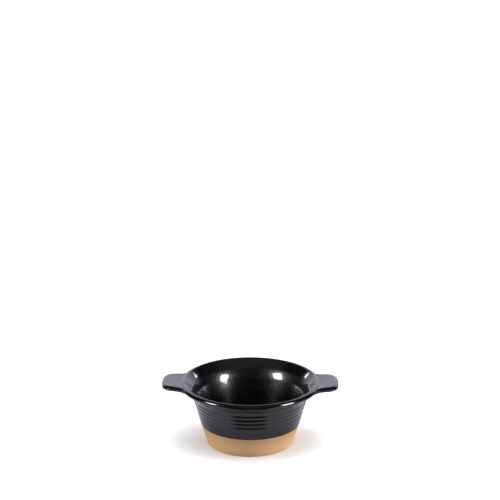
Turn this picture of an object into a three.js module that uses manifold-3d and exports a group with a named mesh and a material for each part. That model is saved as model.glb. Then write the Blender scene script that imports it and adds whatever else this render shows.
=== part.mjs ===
// Eared stoneware baking dish for one portion. Millimetres, +Z up, origin at the centre of the foot.
// A thrown bowl with a bare foot carries two flat lugs at its lip. One coat of glaze covers the
// inside, the lip, both lugs and the outside of the wall down to the glaze line.
import * as THREE from "three";
import { mergeVertices } from "three/addons/utils/BufferGeometryUtils.js";
import Module from "manifold-3d";

const wasm = await Module();
wasm.setup();

// Bowl, as bare clay
const RIM_DIAMETER = 143;
const BOWL_HEIGHT = 64.5;
const FOOT_DIAMETER = 90.5;
const FOOT_EDGE_RADIUS = 2;
const FOOT_RING_WIDTH = 7;
const FOOT_RECESS_DEPTH = 1.5;
const WALL_THICKNESS = 4.2;
const FLOOR_THICKNESS = 6.5;
const FLOOR_CORNER_RADIUS = 3;
const LIP_THICKNESS = 3.8;

// Flare of the wall under the lip: its slope from the vertical, its length and the bend that leads into it
const FLARE_ANGLE = THREE.MathUtils.degToRad(53);
const FLARE_LENGTH = 13.9;
const FLARE_BEND_RADIUS = 16;

// Throwing rings round the outside, counted down from below the flare and kept clear of the glaze line
const RING_PITCH = 4.75;
const RING_DEPTH = 0.5;
const TOP_RING_DROP = 16.8;
const RING_CLEARANCE = 9;

// Lugs, as bare clay
const LUG_REACH = 18.5;
const LUG_TIP_WIDTH = 42.6;
const LUG_ROOT_WIDTH = 48.5;
const LUG_THICKNESS = 4.4;
const LUG_EDGE_ROLL = 6;
const LUG_CORNER_RADIUS = 8;
const LUG_ROOT_FILLET = 4;
const LUG_TIP_DROP = 1.7;
const LUG_ROOT_DEPTH = 2.4;
const LUTING_GAP = 0.3;

// Glaze
const GLAZE_THICKNESS = 0.4;
const GLAZE_SEAT = 0.1;
const GLAZE_LINE_HEIGHT = 21;

// Smoothness of the facets
const ROUND_SEGMENTS = 48;
const LIP_STEPS = 8;
const BEND_STEPS = 4;
const CORNER_STEPS = 3;
const LUG_ROOT_STEPS = 4;
const LUG_TIP_STEPS = 5;
const LUG_FACE_STEPS = 4;
const LUG_EDGE_STEPS = 6;
const LUG_TIP_SWEEP = THREE.MathUtils.degToRad(82);
const MERGE_DISTANCE = 1e-4;

const rimRadius = RIM_DIAMETER / 2;
const footRadius = FOOT_DIAMETER / 2;
const lipRadius = LIP_THICKNESS / 2;
const lipCentre = new THREE.Vector2(rimRadius - lipRadius, BOWL_HEIGHT - lipRadius);
const lugTipRadius = rimRadius + LUG_REACH;
const lugRoot = lipCentre.clone().addScaledVector(leaning(FLARE_ANGLE), -LUG_ROOT_DEPTH);
const skinGrowth = GLAZE_SEAT + GLAZE_THICKNESS;

/** Direction in the (radius, height) plane that leans outward from the vertical by an angle. */
function leaning(angle) {
  return new THREE.Vector2(Math.sin(angle), Math.cos(angle));
}

/** Unit vector square to a leaning direction, pointing out of the dish and down. */
function outwardOf(direction) {
  return new THREE.Vector2(direction.y, -direction.x);
}

/** Point where two lines meet, each given by a point and a direction. */
function meeting(pointA, alongA, pointB, alongB) {
  const gap = pointB.clone().sub(pointA);
  const distance = gap.cross(alongB) / alongA.cross(alongB);
  return pointA.clone().addScaledVector(alongA, distance);
}

/** Points of the arc that rounds the corner between two lines, from the first line to the second. */
function roundedCorner(corner, alongFirst, alongSecond, radius, steps) {
  const turn = Math.acos(THREE.MathUtils.clamp(alongFirst.dot(alongSecond), -1, 1));
  const reach = radius * Math.tan(turn / 2);
  const start = corner.clone().addScaledVector(alongFirst, -reach);
  const end = corner.clone().addScaledVector(alongSecond, reach);
  const side = Math.sign(alongFirst.cross(alongSecond));
  const toCentre = new THREE.Vector2(-alongFirst.y, alongFirst.x).multiplyScalar(side);
  const centre = start.clone().addScaledVector(toCentre, radius);
  const points = [];
  for (let step = 0; step <= steps; step += 1) {
    points.push(start.clone().rotateAround(centre, (side * turn * step) / steps));
  }
  points[steps].copy(end);
  return points;
}

/** Radius at a height on a profile that climbs point by point. */
function radiusAt(climb, height) {
  const above = climb.findIndex((point) => point.y >= height);
  const low = climb[Math.max(above - 1, 0)];
  const high = climb[above];
  return THREE.MathUtils.mapLinear(height, low.y, high.y, low.x, high.x);
}

/** How deep the throwing rings press into the wall at a height. */
function ringPress(height, topRing, ringCount) {
  const turns = (topRing - height) / RING_PITCH;
  if (turns < -0.5 || turns > ringCount - 0.5) {
    return 0;
  }
  return (RING_DEPTH * (1 + Math.cos(turns * 2 * Math.PI))) / 2;
}

/** Outside of the clay wall from the foot edge up to the lip, without its rings. */
function plainOutside() {
  const flare = leaning(FLARE_ANGLE);
  const lipFoot = lipCentre.clone().addScaledVector(outwardOf(flare), lipRadius);
  const knee = lipFoot.clone().addScaledVector(flare, -FLARE_LENGTH);
  const footEdge = new THREE.Vector2(footRadius, FOOT_EDGE_RADIUS);
  const wall = knee.clone().sub(footEdge).normalize();
  const bend = roundedCorner(knee, wall, flare, FLARE_BEND_RADIUS, BEND_STEPS);
  return { points: [footEdge, ...bend, lipFoot], wall, flare };
}

/** Outside of the clay wall with its throwing rings, from the glaze line up to the lip. */
function ringedOutside(outside) {
  const topRing = BOWL_HEIGHT - TOP_RING_DROP;
  const ringCount = Math.floor((topRing - GLAZE_LINE_HEIGHT - RING_CLEARANCE) / RING_PITCH) + 1;
  const heights = [GLAZE_LINE_HEIGHT];
  for (let half = 2 * ringCount - 1; half >= -1; half -= 1) {
    heights.push(topRing - (half * RING_PITCH) / 2);
  }
  const ringed = heights.map((height) => {
    const radius = radiusAt(outside.points, height) - ringPress(height, topRing, ringCount);
    return new THREE.Vector2(radius, height);
  });
  const aboveRings = outside.points.filter((point) => point.y > topRing + RING_PITCH);
  return [...ringed, ...aboveRings];
}

/** Rounded lip, from the outside of the flare over the top to its inside. */
function lipArc() {
  const points = [];
  for (let step = 1; step < LIP_STEPS; step += 1) {
    const angle = -FLARE_ANGLE + (Math.PI * step) / LIP_STEPS;
    points.push(new THREE.Vector2(Math.cos(angle), Math.sin(angle)).multiplyScalar(lipRadius).add(lipCentre));
  }
  return points;
}

/** Inside of the clay bowl, from the lip down to the middle of the floor. */
function insideOf(outside) {
  const flareTop = lipCentre.clone().addScaledVector(outwardOf(outside.flare), -lipRadius);
  const wallFoot = outside.points[0].clone().addScaledVector(outwardOf(outside.wall), -WALL_THICKNESS);
  const knee = meeting(flareTop, outside.flare, wallFoot, outside.wall);
  const down = outside.wall.clone().negate();
  const bendRadius = FLARE_BEND_RADIUS + WALL_THICKNESS;
  const bend = roundedCorner(knee, outside.flare.clone().negate(), down, bendRadius, BEND_STEPS);
  const inward = new THREE.Vector2(-1, 0);
  const floorCentre = new THREE.Vector2(0, FLOOR_THICKNESS);
  const floorCorner = meeting(wallFoot, outside.wall, floorCentre, inward);
  const corner = roundedCorner(floorCorner, down, inward, FLOOR_CORNER_RADIUS, CORNER_STEPS);
  return [flareTop, ...bend, ...corner, floorCentre];
}

/** Underside of the bowl, from its middle out over the recess and the foot ring to the foot edge. */
function underside() {
  const flatRadius = footRadius - FOOT_EDGE_RADIUS;
  const ringInside = flatRadius - FOOT_RING_WIDTH;
  const points = [
    new THREE.Vector2(0, FOOT_RECESS_DEPTH),
    new THREE.Vector2(ringInside - FOOT_RECESS_DEPTH, FOOT_RECESS_DEPTH),
    new THREE.Vector2(ringInside, 0),
  ];
  for (let step = 0; step < CORNER_STEPS; step += 1) {
    const angle = (Math.PI / 2) * (step / CORNER_STEPS - 1);
    const edge = new THREE.Vector2(Math.cos(angle), Math.sin(angle)).multiplyScalar(FOOT_EDGE_RADIUS);
    points.push(edge.add(new THREE.Vector2(flatRadius, FOOT_EDGE_RADIUS)));
  }
  return points;
}

/** Moves a profile outward along its normals. Points on the axis stay on the axis. */
function grown(profile, distance) {
  return profile.map((point, index) => {
    const before = profile[Math.max(index - 1, 0)];
    const after = profile[Math.min(index + 1, profile.length - 1)];
    const along = after.clone().sub(before).normalize();
    const moved = point.clone().addScaledVector(outwardOf(along), distance);
    return new THREE.Vector2(point.x === 0 ? 0 : moved.x, moved.y);
  });
}

/** Revolves a (radius, height) profile round the Z axis. */
function turned(profile) {
  return new THREE.LatheGeometry(profile, ROUND_SEGMENTS).rotateX(Math.PI / 2);
}

/** Share of the way from a lug's root inside the flare to its tip, at a radius. */
function lugShare(radius) {
  return (radius - lugRoot.x) / (lugTipRadius - lugRoot.x);
}

/** Height of a lug's middle plane at a radius: it rises from the root and levels out towards the tip. */
function lugHeight(radius) {
  return THREE.MathUtils.lerp(BOWL_HEIGHT - LUG_TIP_DROP, lugRoot.y, (1 - lugShare(radius)) ** 3);
}

/** Half of a lug's width at a radius: fillets at the rim, a taper, then rounded corners. */
function lugHalfWidth(radius) {
  const outward = (radius - rimRadius) / LUG_REACH;
  const taper = THREE.MathUtils.lerp(LUG_ROOT_WIDTH, LUG_TIP_WIDTH, outward) / 2;
  const fillet = THREE.MathUtils.clamp(rimRadius + LUG_ROOT_FILLET - radius, 0, LUG_ROOT_FILLET);
  const corner = Math.max(radius - lugTipRadius + LUG_CORNER_RADIUS, 0);
  const flareOut = LUG_ROOT_FILLET - Math.sqrt(LUG_ROOT_FILLET ** 2 - fillet ** 2);
  const drawIn = LUG_CORNER_RADIUS - Math.sqrt(LUG_CORNER_RADIUS ** 2 - corner ** 2);
  return taper + flareOut - drawIn;
}

/** Radii of the sections that a lug is lofted through, from its root inside the flare to the tip. */
function lugStations() {
  const radii = [lugRoot.x];
  for (let step = 0; step <= LUG_ROOT_STEPS; step += 1) {
    radii.push(rimRadius + LUG_ROOT_FILLET * (step / LUG_ROOT_STEPS) ** 2);
  }
  for (let step = 0; step <= LUG_TIP_STEPS; step += 1) {
    const sweep = (LUG_TIP_SWEEP * step) / LUG_TIP_STEPS;
    radii.push(lugTipRadius - LUG_CORNER_RADIUS * (1 - Math.sin(sweep)));
  }
  return radii;
}

/** Section of a lug at one radius: a flat bar with rolled edges, wrapped about the dish's axis. */
function lugSection(radius, growth) {
  const rolled = Math.max((radius - lugTipRadius) / LUG_EDGE_ROLL + 1, 0);
  const halfThickness = (LUG_THICKNESS / 2) * Math.sqrt(1 - rolled ** 2) + growth;
  const reach = radius + growth * lugShare(radius);
  const straight = lugHalfWidth(radius) - LUG_EDGE_ROLL;
  const edge = LUG_EDGE_ROLL + growth;
  const flat = [];
  for (let step = 0; step < LUG_FACE_STEPS; step += 1) {
    const across = THREE.MathUtils.lerp(straight, -straight, step / LUG_FACE_STEPS);
    flat.push(new THREE.Vector2(across, halfThickness));
  }
  for (let step = 0; step < LUG_EDGE_STEPS; step += 1) {
    const angle = Math.PI / 2 + (Math.PI * step) / LUG_EDGE_STEPS;
    const across = Math.cos(angle) * edge - straight;
    flat.push(new THREE.Vector2(across, Math.sin(angle) * halfThickness));
  }
  const opposite = flat.map((point) => point.clone().negate());
  return [...flat, ...opposite].map(({ x: across, y: up }) => {
    const turn = across / reach;
    return new THREE.Vector3(reach * Math.cos(turn), reach * Math.sin(turn), lugHeight(radius) + up);
  });
}

/** Closed skin through a row of sections with equal point counts, capped by strips that fold at one point. */
function lofted(sections, fold) {
  const count = sections[0].length;
  const lastRow = (sections.length - 1) * count;
  const faces = [];
  for (let row = 0; row < lastRow; row += count) {
    for (let column = 0; column < count; column += 1) {
      const [a, b] = [row + column, row + ((column + 1) % count)];
      faces.push(a, b, a + count, b, b + count, a + count);
    }
  }
  for (let step = 0; step < count / 2; step += 1) {
    const ends = [fold - step, fold - step - 1, fold + step + 1, fold + step];
    const [a, b, c, d] = ends.map((index) => (index + count) % count);
    faces.push(a, b, c, a, c, d);
    faces.push(lastRow + a, lastRow + c, lastRow + b, lastRow + a, lastRow + d, lastRow + c);
  }
  return new THREE.BufferGeometry().setFromPoints(sections.flat()).setIndex(faces);
}

/** One lug on the +X side, grown on all sides by a distance. */
function lugShape(growth) {
  const middleOfEdge = LUG_FACE_STEPS + LUG_EDGE_STEPS / 2;
  return lofted(lugStations().map((radius) => lugSection(radius, growth)), middleOfEdge);
}

/** Solid for joining and cutting, from a closed geometry. */
function solid(geometry) {
  const bare = geometry.clone();
  bare.deleteAttribute("normal");
  bare.deleteAttribute("uv");
  const merged = mergeVertices(bare, MERGE_DISTANCE);
  const corners = merged.index.array;
  const kept = [];
  for (let start = 0; start < corners.length; start += 3) {
    const [a, b, c] = corners.slice(start, start + 3);
    if (a !== b && b !== c && c !== a) {
      kept.push(a, b, c);
    }
  }
  const vertProperties = new Float32Array(merged.attributes.position.array);
  const mesh = new wasm.Mesh({ numProp: 3, vertProperties, triVerts: new Uint32Array(kept) });
  return new wasm.Manifold(mesh);
}

/** Geometry of a finished solid. */
function shape(body) {
  const mesh = body.getMesh();
  const geometry = new THREE.BufferGeometry();
  geometry.setAttribute("position", new THREE.BufferAttribute(new Float32Array(mesh.vertProperties), 3));
  geometry.setIndex(new THREE.BufferAttribute(new Uint32Array(mesh.triVerts), 1));
  geometry.computeVertexNormals();
  return geometry;
}

const outside = plainOutside();
const glazedClay = [...ringedOutside(outside), ...lipArc(), ...insideOf(outside)];
const bowlProfile = [...underside(), outside.points[0], ...glazedClay];

const opposite = (geometry) => geometry.clone().rotateZ(Math.PI);

/** Clay core of the lug on the +X side, shaped at its root to the lip that it is luted to. */
function lugCore() {
  return shape(solid(lugShape(0)).subtract(solid(turned(grown(bowlProfile, LUTING_GAP)))));
}

/** The glaze over the bowl and both lugs, as one shell with the clay left out of it. */
function glazeCoat() {
  const outer = grown(glazedClay, skinGrowth);
  const bed = grown(glazedClay, GLAZE_SEAT).reverse();
  const clayInside = solid(turned(grown(bowlProfile, GLAZE_SEAT + GLAZE_THICKNESS / 2)));
  let coat = solid(turned([...outer, ...bed, outer[0]]));
  for (const place of [(geometry) => geometry, opposite]) {
    coat = coat.add(solid(place(lugShape(skinGrowth))).subtract(clayInside));
  }
  for (const place of [(geometry) => geometry, opposite]) {
    coat = coat.subtract(solid(place(lugShape(GLAZE_SEAT))));
  }
  return shape(coat);
}

const clay = () => new THREE.MeshStandardMaterial({ color: 0xb8915f, roughness: 0.85, metalness: 0 });
const glaze = () => new THREE.MeshStandardMaterial({ color: 0x0b0b0d, roughness: 0.2, metalness: 0 });

/** Adds a named piece to the dish. */
function piece(name, geometry, material, turn = 0) {
  const mesh = new THREE.Mesh(geometry, material);
  mesh.name = name;
  mesh.rotation.z = turn;
  dish.add(mesh);
}

const dish = new THREE.Group();
piece("stoneware_bowl", turned(bowlProfile), clay());
piece("right_lug", lugCore(), clay());
piece("left_lug", lugCore(), clay(), Math.PI);
piece("glaze_coat", glazeCoat(), glaze());

export default dish;
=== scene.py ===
"""Looks of an eared stoneware baking dish: a bare turned foot under one coat of black glaze.

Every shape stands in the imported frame, in metres, with +Z up and the origin at the centre of the foot.
Patterns of the finishes are laid out in millimetres.
"""
import logging
import math
from dataclasses import dataclass, field, replace
from enum import Enum
from typing import Any, NamedTuple

import bmesh
import bpy
from bmesh.types import BMEdge, BMesh, BMFace, BMVert
from bpy.types import Material, NodeSocket, Object, World
from mathutils import Matrix, Vector, noise


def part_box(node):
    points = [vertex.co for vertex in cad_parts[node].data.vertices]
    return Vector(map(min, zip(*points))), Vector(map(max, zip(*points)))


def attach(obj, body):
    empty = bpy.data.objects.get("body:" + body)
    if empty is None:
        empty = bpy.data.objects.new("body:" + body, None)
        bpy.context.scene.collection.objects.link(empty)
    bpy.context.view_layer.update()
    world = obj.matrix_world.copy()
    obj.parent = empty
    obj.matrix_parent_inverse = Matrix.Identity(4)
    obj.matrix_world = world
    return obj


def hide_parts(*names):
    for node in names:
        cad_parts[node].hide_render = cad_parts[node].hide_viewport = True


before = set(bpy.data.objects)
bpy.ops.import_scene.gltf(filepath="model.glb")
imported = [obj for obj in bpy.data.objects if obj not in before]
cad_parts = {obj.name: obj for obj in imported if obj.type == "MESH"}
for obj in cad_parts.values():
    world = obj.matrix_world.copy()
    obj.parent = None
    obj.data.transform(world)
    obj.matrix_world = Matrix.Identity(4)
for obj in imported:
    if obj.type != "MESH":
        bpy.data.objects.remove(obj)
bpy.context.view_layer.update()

LOG = logging.getLogger("baking_dish")
MM = 0.001
FULL_TURN = 2.0 * math.pi
MERGE_DISTANCE = 1e-7
SEAM_DISTANCE = 2e-6
ROUND_STEPS = 128
NOISE_MIDDLE = 0.5

Colour = tuple[float, float, float]
Span = tuple[float, float]
Size = tuple[float, float]

BLACK: Colour = (0.0, 0.0, 0.0)


class Slot(Enum):
    """Finish slots of the record."""

    CLAY = "bare_clay"
    GLAZE = "dark_glaze"


class Side(Enum):
    """Sides of the dish that carry a lug, by the lug's node in the frame."""

    RIGHT = "right_lug"
    LEFT = "left_lug"

    @property
    def turned(self) -> Matrix:
        """Turn that brings the right side of the dish here."""
        return Matrix.Rotation(math.pi if self is Side.LEFT else 0.0, 3, "Z")


class Grain(NamedTuple):
    """Noise of a finish: its features to the millimetre and its levels of detail."""

    scale: float
    detail: float


class Shade:
    """A shader value in a Python expression: each operator adds the Math node that it needs."""

    def __init__(self, sheet: "NodeSheet", socket: NodeSocket) -> None:
        """Wraps one output socket of a sheet of nodes."""
        self.sheet = sheet
        self.socket = socket

    def _math(self, operation: str, first: Any, second: Any) -> "Shade":
        """Adds a Math node on two values."""
        return self.sheet.node("ShaderNodeMath", {"operation": operation}, {0: first, 1: second})

    def __add__(self, other: Any) -> "Shade":
        """Sum."""
        return self._math("ADD", self, other)

    __radd__ = __add__

    def __mul__(self, other: Any) -> "Shade":
        """Product."""
        return self._math("MULTIPLY", self, other)

    __rmul__ = __mul__

    def __sub__(self, other: Any) -> "Shade":
        """Difference."""
        return self._math("SUBTRACT", self, other)

    def __rsub__(self, other: Any) -> "Shade":
        """Difference, from a plain number."""
        return self._math("SUBTRACT", other, self)

    def __pow__(self, other: Any) -> "Shade":
        """Power."""
        return self._math("POWER", self, other)


def opaque(colour: Colour) -> tuple[float, float, float, float]:
    """Adds a full alpha to a colour."""
    return (*colour, 1.0)


class NodeSheet:
    """The node tree of one material or world."""

    MIX_FIRST = 6
    MIX_SECOND = 7
    MIX_RESULT = 2

    def __init__(self, owner: Material | World) -> None:
        """Empties the owner's node tree.

        Args:
            owner: Material or world that the nodes are for.
        """
        owner.use_nodes = True
        self.owner = owner
        self.tree = owner.node_tree
        self.tree.nodes.clear()

    def node(
        self,
        kind: str,
        settings: dict[str, Any] | None = None,
        sockets: dict[str | int, Any] | None = None,
        output: str | int = 0,
    ) -> Shade:
        """Adds any node.

        Args:
            kind: Type name of the node.
            settings: Attributes of the node, set before its sockets.
            sockets: Values or links of its inputs, by name or number.
            output: The output that the result stands for.

        Returns:
            The chosen output, or the node's first input where it has no output.
        """
        made = self.tree.nodes.new(kind)
        for key, value in (settings or {}).items():
            setattr(made, key, value)
        for key, value in (sockets or {}).items():
            if isinstance(value, Shade):
                self.tree.links.new(value.socket, made.inputs[key])
            else:
                made.inputs[key].default_value = value
        return Shade(self, made.outputs[output] if made.outputs else made.inputs[0])

    def millimetres(self, stretch: Vector = Vector((1.0, 1.0, 1.0))) -> Shade:
        """Gives the point on the piece in millimetres.

        Args:
            stretch: Factor along each axis.

        Returns:
            The point, as a vector.
        """
        point = self.node("ShaderNodeTexCoord", output="Object")
        return self.node("ShaderNodeVectorMath", {"operation": "MULTIPLY"}, {0: point, 1: stretch / MM})

    def along(self, axis: str, vector: Shade) -> Shade:
        """Gives the part of a vector along one axis."""
        return self.node("ShaderNodeSeparateXYZ", None, {0: vector}, axis)

    def from_axis(self, point: Shade) -> Shade:
        """Gives the distance of a point from the dish's axis."""
        across, deep = self.along("X", point), self.along("Y", point)
        return (across * across + deep * deep) ** 0.5

    def grain(self, point: Shade, grain: Grain) -> Shade:
        """Gives noise about its middle."""
        sockets = {"Vector": point, "Scale": grain.scale, "Detail": grain.detail}
        return self.node("ShaderNodeTexNoise", None, sockets)

    def ramp(self, value: Shade, span: Span) -> Shade:
        """Gives a smooth rise.

        Args:
            value: Value that the rise follows.
            span: Values between which it rises.

        Returns:
            0 below the span and 1 above it.
        """
        return self.node(
            "ShaderNodeMapRange",
            {"interpolation_type": "SMOOTHSTEP"},
            {"Value": value, "From Min": span[0], "From Max": span[1]},
        )

    def mixed(self, share: Shade, first: Shade | Colour, second: Shade | Colour) -> Shade:
        """Mixes two colours.

        Args:
            share: Share of the second colour.
            first: First colour.
            second: Second colour.

        Returns:
            The mixed colour.
        """
        sockets: dict[str | int, Any] = {0: share}
        for key, colour in ((self.MIX_FIRST, first), (self.MIX_SECOND, second)):
            sockets[key] = colour if isinstance(colour, Shade) else opaque(colour)
        return self.node("ShaderNodeMix", {"data_type": "RGBA"}, sockets, self.MIX_RESULT)

    def bump(self, relief: Shade, strength: float, depth: float) -> Shade:
        """Gives the normals of a fine relief of some strength and depth."""
        sockets = {"Strength": strength, "Distance": depth, "Height": relief}
        return self.node("ShaderNodeBump", None, sockets)

    def end_in(self, kind: str, sockets: dict[str | int, Any]) -> Material:
        """Ends a material in a shader of some kind and gives the material."""
        self.node("ShaderNodeOutputMaterial", None, {"Surface": self.node(kind, None, sockets)})
        return self.owner


@dataclass(frozen=True)
class GlazeFinish:
    """Black gloss glaze, with a grey fleck that settled on the floor of the dish."""

    body: Colour = (0.0014, 0.0014, 0.0018)
    bloom: Colour = (0.0028, 0.0027, 0.0034)
    bloom_rise: Span = (0.35, 0.65)
    fleck: Colour = (0.072, 0.073, 0.078)
    fleck_rise: Span = (0.56, 0.72)
    wall_fleck: float = 0.16
    floor_fleck_gain: float = 0.07
    floor_height: Span = (8.2, 10.7)
    deep_height: Span = (28.0, 47.0)
    wall_lean: float = 0.284
    wall_middle: Span = (41.5, 43.5)
    cloud: Grain = Grain(0.07, 3.0)
    speckle: Grain = Grain(1.9, 3.0)
    pebble: Grain = Grain(0.75, 1.0)
    peel: Grain = Grain(0.16, 2.0)
    roughness: float = 0.13
    inner_roughening: float = 0.17
    deep_smoothing: float = 0.1
    cloud_spread: float = 0.06
    speckle_spread: float = 0.15
    pebble_spread: float = 0.35
    speckle_relief: float = 0.4
    pebble_relief: float = 0.5
    peel_relief: float = 0.6
    relief_strength: float = 0.6
    relief_depth: float = 0.06 * MM
    gleam: float = 0.25
    coat: float = 0.6
    deep_coat_loss: float = 0.51
    coat_roughness: float = 0.05

    def material(self) -> Material:
        """Builds the glaze.

        Returns:
            The material, on the piece's own coordinates.
        """
        sheet = NodeSheet(bpy.data.materials.new("black_glaze"))
        point = sheet.millimetres()
        height = sheet.along("Z", point)
        cloud, speckle = sheet.grain(point, self.cloud), sheet.grain(point, self.speckle)
        pebble, peel = sheet.grain(point, self.pebble), sheet.grain(point, self.peel)
        settled = 1.0 - sheet.ramp(height, self.floor_height)
        flecked = sheet.ramp(speckle + settled * self.floor_fleck_gain, self.fleck_rise)
        body = sheet.mixed(sheet.ramp(cloud, self.bloom_rise), self.body, self.bloom)
        fleck_share = flecked * (self.wall_fleck + settled * (1.0 - self.wall_fleck))
        inside = 1.0 - sheet.ramp(sheet.from_axis(point) - height * self.wall_lean, self.wall_middle)
        deep = inside * (1.0 - sheet.ramp(height, self.deep_height))
        spread = (cloud - NOISE_MIDDLE) * self.cloud_spread + (speckle - NOISE_MIDDLE) * self.speckle_spread
        spread += (pebble - NOISE_MIDDLE) * inside * self.pebble_spread
        roughness = self.roughness + inside * self.inner_roughening - deep * self.deep_smoothing + spread
        relief = speckle * self.speckle_relief + pebble * self.pebble_relief + peel * self.peel_relief
        return sheet.end_in(
            "ShaderNodeBsdfPrincipled",
            {
                "Base Color": sheet.mixed(fleck_share, body, self.fleck),
                "Roughness": roughness,
                "Specular IOR Level": self.gleam,
                "Coat Weight": self.coat - deep * self.deep_coat_loss,
                "Coat Roughness": self.coat_roughness,
                "Normal": sheet.bump(relief, self.relief_strength, self.relief_depth),
            },
        )


@dataclass(frozen=True)
class ClayFinish:
    """Bare fired stoneware, tan, with turning lines, grog and iron specks; painted shade darkens it towards
    the glaze.
    """

    body: Colour = (0.475, 0.292, 0.143)
    pale: Colour = (0.53, 0.335, 0.17)
    pale_rise: Span = (0.38, 0.64)
    painted_top_shade: Colour = (0.335, 0.194, 0.088)
    # painted shade: the clay is darker towards the glaze line and lighter at the foot, in place of light
    # bounced up from the floor
    painted_top_shade_height: Span = (3.0, 20.0)
    pale_resists: float = 0.3
    iron: Colour = (0.2, 0.105, 0.045)
    iron_rise: Span = (0.74, 0.8)
    iron_strength: float = 0.7
    lines: Grain = Grain(1.3, 4.0)
    grog: Grain = Grain(2.4, 3.0)
    cloud: Grain = Grain(0.06, 2.0)
    speck: Grain = Grain(0.9, 1.0)
    lines_drawn: Vector = field(default_factory=lambda: Vector((0.02, 0.02, 1.0)))
    lines_tone: float = 0.6
    cloud_tone: float = 0.3
    grog_tone: float = 0.1
    roughness: float = 0.82
    grog_spread: float = 0.2
    lines_relief: float = 0.7
    grog_relief: float = 0.3
    relief_strength: float = 0.6
    relief_depth: float = 0.12 * MM
    gleam: float = 0.25

    def material(self) -> Material:
        """Builds the clay.

        Returns:
            The material, on the piece's own coordinates.
        """
        sheet = NodeSheet(bpy.data.materials.new("bare_stoneware"))
        point = sheet.millimetres()
        lines = sheet.grain(sheet.millimetres(self.lines_drawn), self.lines)
        grog, cloud = sheet.grain(point, self.grog), sheet.grain(point, self.cloud)
        tone = lines * self.lines_tone + cloud * self.cloud_tone + grog * self.grog_tone
        pale = sheet.ramp(tone, self.pale_rise)
        wiped = sheet.mixed(pale, self.body, self.pale)
        # painted shade rising from the foot to the glaze line; the pale patches take less of it
        top_shade = sheet.ramp(sheet.along("Z", point), self.painted_top_shade_height) * (1.0 - pale * self.pale_resists)
        body = sheet.mixed(top_shade, wiped, self.painted_top_shade)
        specks = sheet.ramp(sheet.grain(point, self.speck), self.iron_rise)
        relief = lines * self.lines_relief + grog * self.grog_relief
        return sheet.end_in(
            "ShaderNodeBsdfPrincipled",
            {
                "Base Color": sheet.mixed(specks * self.iron_strength, body, self.iron),
                "Roughness": self.roughness + (grog - NOISE_MIDDLE) * self.grog_spread,
                "Specular IOR Level": self.gleam,
                "Normal": sheet.bump(relief, self.relief_strength, self.relief_depth),
            },
        )


class Corner(NamedTuple):
    """A corner of a section: its place, the radius that rounds it and the steps of that round."""

    place: Vector
    radius: float = 0.0
    steps: int = 1


def at(radius: float, height: float) -> Vector:
    """Gives a point of the section plane."""
    return Vector((radius, 0.0, height))


def meeting(start: Vector, way: Vector, other: Vector, other_way: Vector) -> Vector:
    """Finds where two lines of the section plane meet.

    Args:
        start: Point of the first line.
        way: Direction of the first line.
        other: Point of the second line.
        other_way: Direction of the second line.

    Returns:
        The point that both lines share.
    """
    gap = other - start
    share = gap.cross(other_way).y / way.cross(other_way).y
    return start + way * share


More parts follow.
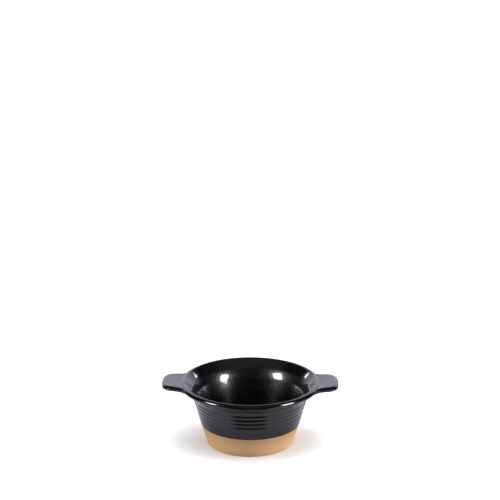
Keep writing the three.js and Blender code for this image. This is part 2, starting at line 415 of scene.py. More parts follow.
@dataclass(frozen=True)
class DishSection:
    """Turned section of the dish in bare clay, from its driving sizes."""

    rim_radius: float
    height: float
    glaze_line: float = 21.0 * MM
    foot_radius: float = 45.25 * MM
    foot_edge: float = 2.0 * MM
    foot_ring: float = 7.0 * MM
    ring_round: float = 0.8 * MM
    recess: float = 1.5 * MM
    recess_round: float = 1.0 * MM
    wall: float = 4.2 * MM
    floor: float = 6.5 * MM
    floor_corner: float = 3.0 * MM
    lip: float = 3.8 * MM
    flare_angle: float = math.radians(53.0)
    flare_length: float = 13.9 * MM
    flare_bend: float = 12.0 * MM
    inner_bend: float = 27.5 * MM
    inner_swell: float = 1.0 * MM
    swell_bend: float = 300.0 * MM
    inner_angle: float = math.radians(49.0)
    lip_tilt: float = math.radians(9.0)
    lip_shoulder: float = 0.7 * MM
    shoulder_round: float = 1.6 * MM
    lip_edge: float = 1.4 * MM
    lip_steps: int = 4
    bend_steps: int = 8
    floor_steps: int = 5
    ring_steps: int = 3
    toe_steps: int = 6

    @property
    def lip_centre(self) -> Vector:
        """Centre of the lip's round."""
        return at(self.rim_radius - self.lip / 2, self.height - self.lip / 2)

    @property
    def flare_way(self) -> Vector:
        """Direction up the flare."""
        return at(math.sin(self.flare_angle), math.cos(self.flare_angle))

    @staticmethod
    def outward(way: Vector) -> Vector:
        """Direction square to an upward way, out of the dish."""
        return at(way.z, -way.x)

    @property
    def knee(self) -> Vector:
        """Corner where the straight wall would meet the flare, on the outside."""
        lip_foot = self.lip_centre + self.outward(self.flare_way) * (self.lip / 2)
        return lip_foot - self.flare_way * self.flare_length

    @property
    def wall_way(self) -> Vector:
        """Direction up the straight wall."""
        return (self.knee - at(self.foot_radius, self.foot_edge)).normalized()

    def outside(self, place: Vector) -> bool:
        """Tells whether a point is on the outer half of the wall.

        Args:
            place: Point of the dish.

        Returns:
            True beyond the middle line of the wall and the flare.
        """
        level = at(0.0, place.z), at(1.0, 0.0)
        foot = at(self.foot_radius, self.foot_edge) - self.outward(self.wall_way) * (self.wall / 2)
        middles = meeting(foot, self.wall_way, *level), meeting(self.lip_centre, self.flare_way, *level)
        return place.xy.length > max(middle.x for middle in middles)

    def crest(self, growth: float) -> Vector:
        """Gives the outer end of the lip, under a coat of some growth."""
        return self.lip_centre + self.flare_way * (self.lip / 2 + growth)

    def outer_corners(self, low: float, growth: float) -> list[Corner]:
        """Gives the outside of the wall.

        Args:
            low: Height of its lowest point.
            growth: Thickness of what covers the clay.

        Returns:
            Corners from that height up to the crest of the lip.
        """
        flare_out = self.outward(self.flare_way)
        foot = at(self.foot_radius, self.foot_edge) + self.outward(self.wall_way) * growth
        knee = meeting(foot, self.wall_way, self.knee + flare_out * growth, self.flare_way)
        half = self.lip / 2 + growth
        start = meeting(foot, self.wall_way, at(0.0, low), at(1.0, 0.0))
        return [
            Corner(start),
            Corner(knee, self.flare_bend - growth, self.bend_steps),
            Corner(self.crest(growth) + flare_out * half, half, self.lip_steps),
            Corner(self.crest(growth)),
        ]

    def inner_corners(self, growth: float) -> list[Corner]:
        """Gives the inside of the dish.

        Args:
            growth: Thickness of what covers the clay.

        Returns:
            Corners from the crest of the lip over the ridge at its inner edge to the middle of the floor.
        """
        up_in = self.outward(self.flare_way) * -1.0
        bare_foot = at(self.foot_radius, self.foot_edge) - self.outward(self.wall_way) * self.wall
        bend = meeting(self.lip_centre + up_in * (self.lip / 2), self.flare_way, bare_foot, self.wall_way)
        inner_way = at(math.sin(self.inner_angle), math.cos(self.inner_angle))
        flare = bend - self.outward(inner_way) * growth
        foot = bare_foot - self.outward(self.wall_way) * growth
        top_way = at(-math.cos(self.lip_tilt), math.sin(self.lip_tilt))
        top = self.crest(0.0) + up_in * self.lip_shoulder + self.outward(top_way) * growth
        shoulder = meeting(self.crest(growth), up_in, top, top_way)
        middle = at(0.0, self.floor + growth)
        knee = meeting(flare, inner_way, foot, self.wall_way)
        floor_edge = meeting(foot, self.wall_way, middle, at(1.0, 0.0))
        swell = (knee + floor_edge) / 2 - self.outward(self.wall_way) * self.inner_swell
        return [
            Corner(self.crest(growth)),
            Corner(shoulder, self.shoulder_round + growth, self.lip_steps),
            Corner(meeting(top, top_way, flare, inner_way), self.lip_edge + growth, self.lip_steps),
            Corner(knee, self.inner_bend + growth, self.bend_steps),
            Corner(swell, self.swell_bend, self.bend_steps),
            Corner(floor_edge, self.floor_corner - growth, self.floor_steps),
            Corner(middle),
        ]

    def under_corners(self) -> list[Corner]:
        """Gives the underside.

        Returns:
            Corners from its middle over the recess, the foot ring and the toe to the bare wall.
        """
        inner = self.foot_radius - self.foot_edge - self.foot_ring
        toe = meeting(at(self.foot_radius, self.foot_edge), self.wall_way, at(0.0, 0.0), at(1.0, 0.0))
        return [
            Corner(at(0.0, self.recess)),
            Corner(at(inner - self.recess, self.recess), self.recess_round, self.ring_steps),
            Corner(at(inner, 0.0), self.ring_round, self.ring_steps),
            Corner(toe, self.foot_edge, self.toe_steps),
            Corner(meeting(toe, self.wall_way, at(0.0, self.foot_edge * 2), at(1.0, 0.0))),
        ]


def join(target: BMesh, source: BMesh) -> None:
    """Adds one mesh to another.

    Args:
        target: Mesh that grows.
        source: Mesh that is added, and freed.
    """
    carrier = bpy.data.meshes.new("carrier")
    source.to_mesh(carrier)
    source.free()
    target.from_mesh(carrier)
    bpy.data.meshes.remove(carrier)


class TurnedShape:
    """A shape thrown on the wheel: wires in the section plane, spun about the dish's axis."""

    def __init__(self) -> None:
        """Starts an empty shape."""
        self.mesh = bmesh.new()

    def wire(self, corners: list[Corner], row: float) -> None:
        """Draws a stretch of the section.

        Args:
            corners: Corners of the stretch, in order.
            row: Longest step between two points of it.
        """
        bm = bmesh.new()
        points = [bm.verts.new(corner.place) for corner in corners]
        for first, second in zip(points, points[1:]):
            bm.edges.new((first, second))
        for before, corner, after, point in zip(corners, corners[1:], corners[2:], points[1:]):
            turn = (corner.place - before.place).angle(after.place - corner.place)
            offset = corner.radius * math.tan(turn / 2)
            bmesh.ops.bevel(
                bm, geom=[point], offset=offset, affect="VERTICES",
                segments=corner.steps, profile=0.5, material=-1,
            )
        for edge in bm.edges[:]:
            cuts = math.ceil(edge.calc_length() / row) - 1
            if cuts > 0:
                bmesh.ops.subdivide_edges(bm, edges=[edge], cuts=cuts)
        join(self.mesh, bm)

    def spin(self) -> BMesh:
        """Spins the wires into a closed round.

        Returns:
            The turned mesh, with its seam and poles merged and its faces pointing outwards.
        """
        bm = self.mesh
        bmesh.ops.remove_doubles(bm, verts=bm.verts[:], dist=MERGE_DISTANCE)
        bmesh.ops.spin(
            bm, geom=bm.verts[:] + bm.edges[:], cent=(0.0, 0.0, 0.0), axis=(0.0, 0.0, 1.0),
            angle=FULL_TURN, steps=ROUND_STEPS, use_merge=True,
        )
        bmesh.ops.remove_doubles(bm, verts=bm.verts[:], dist=MERGE_DISTANCE)
        bmesh.ops.recalc_face_normals(bm, faces=bm.faces[:])
        return bm


@dataclass(frozen=True)
class ThrowingRings:
    """Rings that the potter's fingers pressed into the outside of the wall, not quite evenly."""

    section: DishSection
    below_rim: float = 15.2 * MM
    count: int = 4
    pitch: float = 4.55 * MM
    depth: float = 0.58 * MM
    wander: float = 0.09
    wander_round: float = 1.3
    wander_down: float = 0.3
    uneven: float = 0.3
    uneven_round: float = 0.8
    uneven_down: float = 3.7

    def press(self, bm: BMesh) -> None:
        """Presses the rings into the outer half of the wall.

        Args:
            bm: Mesh of the wall, bare or coated.
        """
        for point in bm.verts:
            if self.section.outside(point.co):
                way = Vector((point.co.x, point.co.y, 0.0)).normalized()
                point.co -= way * self._depth_at(way, point.co.z)

    def _depth_at(self, way: Vector, height: float) -> float:
        """Works out the depth of the press.

        Args:
            way: Level direction from the axis.
            height: Height above the foot.

        Returns:
            The depth, 0 above and below the rings.
        """
        spot = way * self.wander_round + Vector((0.0, 0.0, height / self.pitch * self.wander_down))
        down = self.section.height - self.below_rim - height
        turns = down / self.pitch + noise.noise(spot) * self.wander
        if not -0.5 < turns < self.count - 0.5:
            return 0.0
        spot = way * self.uneven_round + Vector((0.0, 0.0, self.uneven_down * round(turns)))
        strength = 1.0 + self.uneven * noise.noise(spot)
        return self.depth * strength * (1.0 + math.cos(turns * FULL_TURN)) / 2


@dataclass(frozen=True)
class LugForm:
    """A flat lug that grows out of the lip, as bare clay on the right side.

    The pooled glaze, the crease and the hollow are shares of the coat's thickness.
    """

    section: DishSection
    reach: float = 18.5 * MM
    tip_width: float = 42.6 * MM
    root_width: float = 48.5 * MM
    thickness: float = 4.4 * MM
    edge_roll: float = 6.0 * MM
    edge_sweep: float = math.radians(75.0)
    corner: float = 8.0 * MM
    fillet: float = 4.0 * MM
    tip_drop: float = 1.7 * MM
    levelling: int = 3
    root_depth: float = 2.4 * MM
    root_reach: float = 2.6 * MM
    hollow: float = 0.3
    crease: float = 0.5
    pooled: float = 0.6
    crease_out: float = 0.8 * MM
    crease_width: float = 2.2 * MM
    root_columns: int = 9
    flat_columns: int = 5
    fillet_steps: int = 4
    tip_steps: int = 6
    tip_sweep: float = math.radians(82.0)

    @property
    def tip_radius(self) -> float:
        """Radius that the lug reaches out to."""
        return self.section.rim_radius + self.reach

    @property
    def root(self) -> Vector:
        """Place inside the flare that the lug's middle plane starts from."""
        return self.section.lip_centre - self.section.flare_way * self.root_depth

    def middle_height(self, radius: float) -> float:
        """Gives the height of the lug's middle plane: it rises from the lip and levels out."""
        high = self.section.height - self.tip_drop
        return high + (self.root.z - high) * (1.0 - self.share(radius)) ** self.levelling

    def share(self, radius: float) -> float:
        """Gives the share of the way from the root to the tip."""
        return (radius - self.root.x) / (self.tip_radius - self.root.x)

    def half_width(self, radius: float) -> float:
        """Works out half the width: fillets at the rim, a taper, then rounded corners.

        Args:
            radius: Distance from the dish's axis.

        Returns:
            Half the width there.
        """
        rim = self.section.rim_radius
        taper = (self.root_width + (self.tip_width - self.root_width) * (radius - rim) / self.reach) / 2
        into_fillet = min(max(rim + self.fillet - radius, 0.0), self.fillet)
        into_corner = max(radius - self.tip_radius + self.corner, 0.0)
        flare_out = self.fillet - math.sqrt(self.fillet**2 - into_fillet**2)
        draw_in = self.corner - math.sqrt(self.corner**2 - into_corner**2)
        return taper + flare_out - draw_in

    def sunk_share(self, radius: float) -> float:
        """Gives the share of the coat that the top is sunk by: a crease at the lip, then a hollow."""
        off_crease = (radius - self.section.rim_radius - self.crease_out) / self.crease_width
        return self.hollow * math.sin(math.pi * self.share(radius)) + self.crease * math.exp(-off_crease**2)

    def pooled_share(self, column: int, level: float) -> float:
        """Gives the share of the coat that has pooled in the crease, at a point of the root."""
        return self.pooled * max(level, 0.0) ** 2 * (1.0 - (column / self.root_columns) ** 2)

    def stations(self) -> list[float]:
        """Works out the radii that the lug is drawn out through.

        Returns:
            Radii from the rim to the tip, close together at the fillets and the corners.
        """
        rim = self.section.rim_radius
        shares = [step / self.fillet_steps for step in range(self.fillet_steps + 1)]
        near = [rim + self.fillet * share**2 for share in shares]
        sweeps = [self.tip_sweep * step / self.tip_steps for step in range(self.tip_steps + 1)]
        return near + [self.tip_radius - self.corner * (1.0 - math.sin(sweep)) for sweep in sweeps]

    def place(self, column: int, level: float, radius: float, growth: float) -> Vector:
        """Places one point of the lug's section.

        Args:
            column: Column of the point across the lug, 0 in the middle.
            level: Level of the point, -1 at the underside and 1 at the top.
            radius: Radius of the section in bare clay.
            growth: Thickness of what covers the clay.

        Returns:
            The point on the right side of the dish.
        """
        rolled = max((radius - self.tip_radius) / self.edge_roll + 1.0, 0.0)
        half = self.thickness / 2 * math.sqrt(1.0 - rolled**2) + growth
        straight = self.half_width(radius) - self.edge_roll
        into_roll = max(abs(column) - self.flat_columns, 0) / (self.root_columns - self.flat_columns)
        roll = into_roll * self.edge_sweep
        across = straight * min(abs(column) / self.flat_columns, 1.0)
        across += (self.edge_roll + growth) * math.sin(roll) / math.sin(self.edge_sweep)
        sunk = growth * self.sunk_share(radius) * max(level, 0.0) * (1.0 - into_roll)
        out = radius + growth * self.share(radius)
        turn = math.copysign(across / out, column)
        height = self.middle_height(radius) + half * math.cos(roll) * level - sunk
        return Vector((out * math.cos(turn), out * math.sin(turn), height))


@dataclass
class GlazeCoat:
    """The glaze over the inside, the lip, both lugs and the wall down to the glaze line."""

    section: DishSection
    rings: ThrowingRings
    lug: LugForm
    finish: Material
    skin: float = 0.5 * MM
    bed: float = 0.12 * MM
    skin_row: float = 0.9 * MM
    bed_row: float = 2.4 * MM
    inner_row: float = 4.8 * MM
    bed_inner_row: float = 9.0 * MM
    bed_bend_steps: int = 4
    edge_round: float = 0.16 * MM
    edge_steps: int = 2

    def build(self) -> Object:
        """Builds the coat.

        Returns:
            The finished object, a closed shell under one level of subdivision.
        """
        hidden = replace(self.section, bend_steps=self.bed_bend_steps)
        bm = self._surface(self.section, self.skin, self.skin_row, self.inner_row)
        join(bm, self._surface(hidden, self.bed, self.bed_row, self.bed_inner_row))
        outline = self._close(bm)
        bmesh.ops.bevel(
            bm, geom=outline, offset=self.edge_round, affect="EDGES",
            segments=self.edge_steps, profile=0.5, material=-1,
        )
        coat = stand(bm, "glaze", self.finish, Slot.GLAZE, "glaze_coat")
        smooth = coat.modifiers.new("smooth", "SUBSURF")
        smooth.levels = smooth.render_levels = 1
        return coat

    def _close(self, bm: BMesh) -> list[BMEdge]:
        """Joins the skin to the bed along the glaze line.

        Args:
            bm: Both surfaces, each open at the glaze line.

        Returns:
            The edges round the outside of that line.
        """
        line = self.section.glaze_line
        ends = [self.section.outer_corners(line, growth)[0].place for growth in (self.skin, self.bed)]
        strip = TurnedShape()
        strip.wire([Corner(end) for end in ends], self.bed_row)
        join(bm, strip.spin())
        bmesh.ops.remove_doubles(bm, verts=bm.verts[:], dist=SEAM_DISTANCE)
        bmesh.ops.recalc_face_normals(bm, faces=bm.faces[:])
        middle = (ends[0].x + ends[1].x) / 2
        return [
            edge
            for edge in bm.edges
            if all(abs(end.co.z - line) < SEAM_DISTANCE and end.co.xy.length > middle for end in edge.verts)
        ]

    def _surface(self, section: DishSection, growth: float, row: float, inner_row: float) -> BMesh:
        """Throws one surface of the coat and draws the lugs out of its lip.

        Args:
            section: Section of the dish, with the steps of its bends.
            growth: Distance of the surface from the clay.
            row: Longest step between the points of the outer face.
            inner_row: The same for the inner face.

        Returns:
            The surface, open at the glaze line.
        """
        shape = TurnedShape()
        shape.wire(section.outer_corners(section.glaze_line, growth), row)
        shape.wire(section.inner_corners(growth), inner_row)
        bm = shape.spin()
        self.rings.press(bm)
        for side in Side:
            self._draw_out_lug(bm, growth, side)
        return bm

    def _draw_out_lug(self, bm: BMesh, growth: float, side: Side) -> None:
        """Extrudes the lip's outer band on one side into a lug.

        Args:
            bm: Surface that the lug grows from.
            growth: Distance of the surface from the clay.
            side: Side of the dish.
        """
        back = side.turned.inverted()
        column_mark = bm.verts.layers.int.get("column") or bm.verts.layers.int.new("column")
        level_mark = bm.verts.layers.float.get("level") or bm.verts.layers.float.new("level")
        faces = [face for face in bm.faces if self._in_root(back @ face.calc_center_median())]
        climbs = {point: self._climb(back @ point.co) for face in faces for point in face.verts}
        low, high = min(climbs.values()), max(climbs.values())
        for point, climb in climbs.items():
            point[column_mark] = round(self._column(back @ point.co))
            point[level_mark] = 2.0 * (climb - low) / (high - low) - 1.0
            point.co.z += growth * self.lug.pooled_share(point[column_mark], point[level_mark])
        for radius in self.lug.stations():
            edges = {edge for face in faces for edge in face.edges}
            drawn = bmesh.ops.extrude_face_region(bm, geom=[*faces, *edges])["geom"]
            faces = [item for item in drawn if isinstance(item, BMFace)]
            for point in (item for item in drawn if isinstance(item, BMVert)):
                place = self.lug.place(point[column_mark], point[level_mark], radius, growth)
                point.co = side.turned @ place

    @staticmethod
    def _column(place: Vector) -> float:
        """Gives the column of a point, counted from the middle of the right lug."""
        return math.atan2(place.y, place.x) / (FULL_TURN / ROUND_STEPS)

    def _climb(self, place: Vector) -> float:
        """Works out how far a point is up the outside of the lip.

        Args:
            place: Point of the coat.

        Returns:
            The way from where the flare ends, below 0 on the flare and endlessly low inside the dish.
        """
        radial = at(place.xy.length, place.z) - self.section.lip_centre
        along = radial.dot(self.section.flare_way)
        off = radial.dot(self.section.outward(self.section.flare_way))
        if along < 0.0:
            return along if off > 0.0 else -math.inf
        return math.atan2(along, off) * self.section.lip / 2

    def _in_root(self, middle: Vector) -> bool:
        """Tells whether a face's middle is in the band that a lug grows from, on the right side."""
        in_width = abs(self._column(middle)) < self.lug.root_columns
        return in_width and -self.lug.root_reach < self._climb(middle) < self.section.lip * math.pi / 4


@dataclass
class StonewareBowl:
    """The thrown bowl, bare at its foot, with a ring to stand on and fine turning lines."""

    section: DishSection
    rings: ThrowingRings
    finish: Material
    bare_row: float = 0.32 * MM
    covered_row: float = 2.0 * MM
    inner_row: float = 6.0 * MM
    under_row: float = 3.0 * MM
    line_depth: float = 0.045 * MM
    line_pitch: float = 0.55 * MM
    line_wander: float = 0.3

    def build(self) -> Object:
        """Builds the bowl.

        Returns:
            The finished object, a closed solid.
        """
        section = self.section
        shape = TurnedShape()
        under = section.under_corners()
        shape.wire(under, self.under_row)
        bare_foot = under[-1].place
        bare_top = section.outer_corners(section.glaze_line, 0.0)[0].place
        shape.wire([Corner(bare_foot), Corner(bare_top)], self.bare_row)
        shape.wire(section.outer_corners(section.glaze_line, 0.0), self.covered_row)
        shape.wire(section.inner_corners(0.0), self.inner_row)
        bm = shape.spin()
        self.rings.press(bm)
        self._turn_lines(bm, bare_foot.z, bare_top.z)
        return stand(bm, "thrown_bowl", self.finish, Slot.CLAY, "stoneware_bowl")

    def _turn_lines(self, bm: BMesh, low: float, high: float) -> None:
        """Scores fine turning lines round the bare wall.

        Args:
            bm: Mesh of the bowl.
            low: Height that the lines start at.
            high: Height that they end at.
        """
        middle = self.section.foot_radius - self.section.wall / 2
        for point in bm.verts:
            if low < point.co.z < high and point.co.xy.length > middle:
                way = Vector((point.co.x, point.co.y, 0.0)).normalized()
                spot = way * self.line_wander + Vector((0.0, 0.0, point.co.z / self.line_pitch))
                point.co += way * noise.noise(spot) * self.line_depth


@dataclass
class LugCore:
    """The clay of one lug, kept as it is in the frame and covered by the glaze."""

    side: Side
    finish: Material

    def build(self) -> Object:
        """Dresses the lug.

        Returns:
            The frame's own object, in clay.
        """
        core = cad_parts[self.side.value]
        core.data.materials.clear()
        core.data.materials.append(self.finish)
        return core


def put(bm: BMesh, name: str, finish: Material) -> Object:
    """Puts a finished mesh in the scene.

    Args:
        bm: The mesh, in place, which is freed.
        name: Name of the object.
        finish: Its material.

    Returns:
        The new object.
    """
    mesh = bpy.data.meshes.new(name)
    bm.to_mesh(mesh)
    bm.free()
    mesh.materials.append(finish)
    made = bpy.data.objects.new(name, mesh)
    bpy.context.scene.collection.objects.link(made)
    return made


def stand(bm: BMesh, name: str, finish: Material, slot: Slot, *nodes: str) -> Object:
    """Stands a finished mesh in the frame.

    Args:
        bm: Mesh of the piece, in place.
        name: Name of the piece.
        finish: Its material.
        slot: Finish slot of the record; not used.
        nodes: Nodes of the frame that it stands for.

    Returns:
        The new object.
    """
    piece = put(bm, name, finish)
    piece.data.shade_smooth()
    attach(piece, "root")
    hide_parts(*nodes)
    return piece


@dataclass(frozen=True)
class PalePaint:
    """Matt pale paint of the floor."""

    low: Colour = (0.86, 0.86, 0.86)
    high: Colour = (0.9, 0.9, 0.9)
    cloud: Grain = Grain(0.02, 2.0)
    cloud_rise: Span = (0.3, 0.7)
    roughness: float = 0.9

    def material(self) -> Material:
        """Mixes the paint.

        Returns:
            The material.
        """
        sheet = NodeSheet(bpy.data.materials.new("pale_paint"))
        tone = sheet.ramp(sheet.grain(sheet.millimetres(), self.cloud), self.cloud_rise)
        coat = {"Base Color": sheet.mixed(tone, self.low, self.high), "Roughness": self.roughness}
        return sheet.end_in("ShaderNodeBsdfPrincipled", coat)


@dataclass(frozen=True)
class BlackCloth:
    """Black cloth that takes up light."""

    low: Colour = (0.004, 0.004, 0.004)
    high: Colour = (0.008, 0.008, 0.008)
    weave: Grain = Grain(0.3, 2.0)
    weave_rise: Span = (0.3, 0.7)

    def material(self) -> Material:
        """Weaves the cloth.

        Returns:
            The material.
        """
        sheet = NodeSheet(bpy.data.materials.new("black_cloth"))
        weave = sheet.ramp(sheet.grain(sheet.millimetres(), self.weave), self.weave_rise)
        colour = sheet.mixed(weave, self.low, self.high)
        return sheet.end_in("ShaderNodeBsdfDiffuse", {"Color": colour})


@dataclass(frozen=True)
class PaintedReflectionSurround:
    """A sheet seen only in reflections, which paints what the glaze mirrors of the floor: a grey board
    under the dish, dark beyond it.

    Painted shadow dims the board next to the foot and behind the dish, and a painted dark wedge cuts it
    away in front.
    """

    dark: Colour = (0.01, 0.01, 0.011)
    # painted reflection: this tint darkens and blues the floor where the glaze mirrors it
    painted_reflection_tint: Colour = (0.5, 0.51, 0.555)
    board_half: Size = (420.0, 300.0)
    board_edge: Span = (0.8, 1.2)
    # painted shadow of the dish behind it, where the board fades to dark
    board_back: Span = (40.0, 110.0)
    # painted shadow next to the foot, seen only in reflections: where it lies and how much it darkens
    foot_shade: Span = (54.0, 70.0)
    painted_foot_shadow: float = 0.35
    # painted dark reflection: a wedge in front of the dish
    front_start: float = -40.0
    front_slope: float = 0.78
    front_reach: Span = (44.0, 70.0)
    front_edge: Span = (-20.0, 20.0)

    def material(self) -> Material:
        """Lays out the board and its surround.

        Returns:
            The material, clear over the board.
        """
        sheet = NodeSheet(bpy.data.materials.new("painted_reflection_surround"))
        point = sheet.millimetres()
        across, deep = sheet.along("X", point), sheet.along("Y", point)
        wide, long = across * (1.0 / self.board_half[0]), deep * (1.0 / self.board_half[1])
        # painted dark reflection beyond the board, painted shadow behind the dish and a painted dark wedge
        # in front, all seen only in reflections
        off_board = sheet.ramp((wide * wide + long * long) ** 0.5, self.board_edge)
        behind = sheet.ramp(deep, self.board_back)
        ahead = self.front_start - deep
        reach = (across * across + ahead * ahead) ** 0.5
        aside = (across * across) ** 0.5 - ahead * self.front_slope
        before = sheet.ramp(reach, self.front_reach) * (1.0 - sheet.ramp(aside, self.front_edge))
        # painted shadow round the foot, in what the glaze mirrors
        clear_of_painted_shadow = sheet.ramp(sheet.from_axis(point), self.foot_shade)
        lit = (1.0 - self.painted_foot_shadow) + clear_of_painted_shadow * self.painted_foot_shadow
        share = 1.0 - (1.0 - off_board) * (1.0 - behind) * (1.0 - before) * lit
        # the tinted clear part paints a darker reflection of the board, the dark part a dark reflection
        clear = sheet.node("ShaderNodeBsdfTransparent", None, {"Color": opaque(self.painted_reflection_tint)})
        dark = sheet.node("ShaderNodeBsdfDiffuse", None, {"Color": opaque(self.dark)})
        return sheet.end_in("ShaderNodeMixShader", {0: share, 1: clear, 2: dark})


@dataclass(frozen=True)
class Card:
    """A card of light that only shows in reflections, with edges that fade.

    Its turn off the camera's side and its rise are in degrees, its distance and size in metres.
    """

    name: str
    turn: float
    rise: float
    distance: float
    size: Size
    brightness: float
    colour: Colour
    soft: float
    squareness: float = 2.0

    def material(self) -> Material:
        """Lights the card.

        Returns:
            The material, on the card's own map.
        """
        sheet = NodeSheet(bpy.data.materials.new(self.name))
        spot = sheet.node("ShaderNodeTexCoord", output="UV")
        away: Any = 0.0
        for axis in ("X", "Y"):
            off = sheet.along(axis, spot) * 2.0 - 1.0
            away = away + (off * off) ** self.squareness
        glow = 1.0 - sheet.ramp(away ** (0.5 / self.squareness), (1.0 - self.soft, 1.0))
        colour = sheet.mixed(glow, BLACK, self.colour)
        lit = {"Base Color": opaque(BLACK), "Specular IOR Level": 0.0, "Roughness": 1.0}
        lit |= {"Emission Color": colour, "Emission Strength": self.brightness}
        return sheet.end_in("ShaderNodeBsdfPrincipled", lit)


class Fill(NamedTuple):
    """A soft light on matt surfaces: the way it comes from and its spread, in degrees, and its strength."""

    name: str
    turn: float
    rise: float
    spread: float
    strength: float


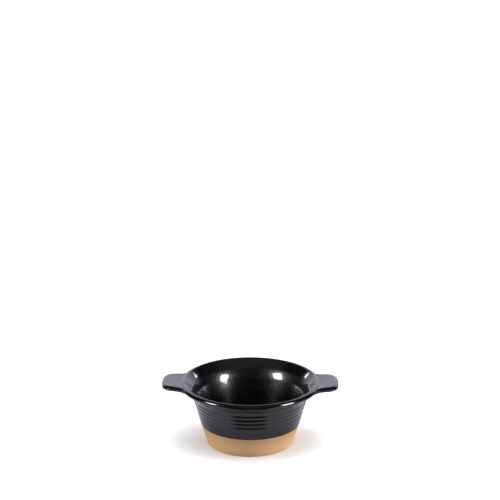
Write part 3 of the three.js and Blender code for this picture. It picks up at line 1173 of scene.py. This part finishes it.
@dataclass
class Studio:
    """Pale floor, soft light and the camera."""

    target: Vector = field(default_factory=lambda: Vector((0.0, 0.0, 30.0 * MM)))
    distance: float = 1.4
    elevation: float = math.radians(22.37)
    azimuth: float = math.radians(0.9)
    tilt_up: float = math.radians(6.87)
    sideways: float = -0.26 * MM
    lens: float = 96.94
    sensor: float = 36.0
    sight: float = 36.0
    floor_radius: float = 9.0
    floor_steps: int = 96
    surround_lift: float = 0.2 * MM
    room: Colour = (0.55, 0.56, 0.58)
    flag_rise: float = 22.0
    flag_distance: float = 1.6
    flag_size: Size = (2.6, 1.6)
    cards: tuple[Card, ...] = (
        Card("backdrop", 180.0, 20.0, 1.9, (5.0, 1.5), 1.33, (0.87, 0.87, 1.0), 0.7),
        Card("ceiling", 0.0, 79.0, 1.6, (3.6, 1.6), 0.2, (0.95, 0.97, 1.0), 0.6),
        Card("front_card", 0.0, 34.0, 1.6, (2.6, 1.2), 0.04, (0.92, 0.96, 1.0), 0.6),
        Card("left_box", -66.0, 30.5, 1.3, (0.5, 0.55), 40.0, (0.93, 0.95, 1.0), 0.25),
        Card("right_box", 63.4, 24.5, 1.3, (0.47, 0.68), 34.0, (0.93, 0.95, 1.0), 0.25),
        Card("left_lamp", -140.0, 25.5, 1.9, (0.1, 0.14), 22.0, (0.95, 0.96, 1.0), 0.5),
        Card("right_lamp", 139.0, 27.0, 1.9, (0.1, 0.14), 22.0, (0.95, 0.96, 1.0), 0.5),
    )
    fills: tuple[Fill, ...] = (
        Fill("top_fill", 0.0, 89.9, 76.0, 3.7),
        Fill("right_fill", 92.0, 12.0, 22.0, 3.2),
        Fill("left_fill", -92.0, 12.0, 22.0, 1.8),
    )

    def build(self) -> None:
        """Sets up the whole studio."""
        bpy.context.scene.view_settings.view_transform = "Standard"
        self._camera()
        self._lay("floor", 0.0, PalePaint().material())
        # the surround is seen only in reflections, as painted reflection and painted shadow
        surround = self._lay("painted_reflection_surround", self.surround_lift, PaintedReflectionSurround().material())
        surround.visible_camera = surround.visible_diffuse = surround.visible_shadow = False
        self._black_flag()
        self._room()
        for card in self.cards:
            way = self._way(card.turn, card.rise)
            light = self._hang(card.name, card.material(), way, card.distance, card.size)
            light.visible_camera = light.visible_diffuse = light.visible_shadow = False
        for fill in self.fills:
            self._hang_fill(fill)

    def _camera(self) -> None:
        """Aims the camera at the dish as the photograph's was."""
        data = bpy.data.cameras.new("camera")
        data.lens = self.lens
        data.sensor_width = self.sensor
        data.clip_end = self.sight
        camera = bpy.data.objects.new("camera", data)
        flat = self.distance * math.cos(self.elevation)
        back = Vector((self.sideways, -flat, self.distance * math.sin(self.elevation)))
        camera.location = self.target + Matrix.Rotation(self.azimuth, 3, "Z") @ back
        look_down = self.elevation - self.tilt_up
        camera.rotation_euler = (math.pi / 2 - look_down, 0.0, self.azimuth)
        bpy.context.scene.collection.objects.link(camera)
        bpy.context.scene.camera = camera

    def _lay(self, name: str, lift: float, finish: Material) -> Object:
        """Lays a wide round sheet under the dish.

        Args:
            name: Name of the sheet.
            lift: Height that it lies at.
            finish: Its material.

        Returns:
            The sheet.
        """
        bm = bmesh.new()
        lifted = Matrix.Translation((0.0, 0.0, lift))
        bmesh.ops.create_circle(
            bm, cap_ends=True, segments=self.floor_steps, radius=self.floor_radius, matrix=lifted
        )
        return self._stage(put(bm, name, finish))

    def _black_flag(self) -> None:
        """Hangs a black flag behind the camera, which keeps the even light off the front of the dish."""
        way = self._way(0.0, self.flag_rise)
        flag = self._hang("flag", BlackCloth().material(), way, self.flag_distance, self.flag_size)
        flag.visible_camera = flag.visible_glossy = False

    def _hang(self, name: str, finish: Material, way: Vector, distance: float, size: Size) -> Object:
        """Hangs a flat card that faces the dish.

        Args:
            name: Name of the card.
            finish: Its material.
            way: Direction to its middle.
            distance: Distance to its middle.
            size: Width and height.

        Returns:
            The card, with a map from 0 to 1 over its face.
        """
        bm = bmesh.new()
        bm.loops.layers.uv.new("spot")
        turned = way.to_track_quat("Z", "Y").to_matrix().to_4x4()
        stretched = Matrix.Diagonal((size[0] / 2, size[1] / 2, 1.0, 1.0))
        hung = Matrix.Translation(self.target + way * distance) @ turned @ stretched
        bmesh.ops.create_grid(bm, x_segments=1, y_segments=1, size=1.0, matrix=hung, calc_uvs=True)
        return self._stage(put(bm, name, finish))

    @staticmethod
    def _way(turn: float, rise: float) -> Vector:
        """Works out the way to a light.

        Args:
            turn: Turn off the camera's side, in degrees.
            rise: Rise above level, in degrees.

        Returns:
            The direction from the dish.
        """
        flat = math.cos(math.radians(rise))
        turned = math.radians(turn)
        return Vector((math.sin(turned) * flat, -math.cos(turned) * flat, math.sin(math.radians(rise))))

    def _hang_fill(self, fill: Fill) -> None:
        """Hangs one soft light on matt surfaces, without a reflection of its own.

        Args:
            fill: The light.
        """
        data = bpy.data.lights.new(fill.name, "SUN")
        data.energy = fill.strength
        data.angle = math.radians(fill.spread)
        lamp = bpy.data.objects.new(fill.name, data)
        lamp.rotation_euler = self._way(fill.turn, fill.rise).to_track_quat("Z", "Y").to_euler()
        lamp.visible_glossy = False
        bpy.context.scene.collection.objects.link(lamp)

    @staticmethod
    def _stage(obj: Object) -> Object:
        """Gives an object back as it is."""
        return obj

    def _room(self) -> None:
        """Lights matt surfaces evenly from all round, while reflections see the room dark."""
        world = bpy.data.worlds.new("room")
        sheet = NodeSheet(world)
        light = sheet.node("ShaderNodeBackground", None, {"Color": opaque(self.room), "Strength": 1.0})
        sheet.node("ShaderNodeOutputWorld", None, {"Surface": light})
        bpy.context.scene.world = world
        world.cycles_visibility.glossy = False


def report_piece(piece: Object) -> None:
    """Logs a piece's name and face count."""
    LOG.info("%s: %d faces before its modifiers", piece.name, len(piece.data.polygons))


def main() -> None:
    """Builds the dish and the studio round it."""
    logging.basicConfig(level=logging.INFO)
    bowl_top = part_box("stoneware_bowl")[1]
    clay = ClayFinish().material()
    glaze = GlazeFinish().material()
    section = DishSection(rim_radius=bowl_top.y, height=bowl_top.z)
    rings = ThrowingRings(section)
    report_piece(StonewareBowl(section, rings, clay).build())
    report_piece(GlazeCoat(section, rings, LugForm(section), glaze).build())
    for side in Side:
        report_piece(LugCore(side, clay).build())
    Studio().build()


if __name__ == "__main__":
    main()
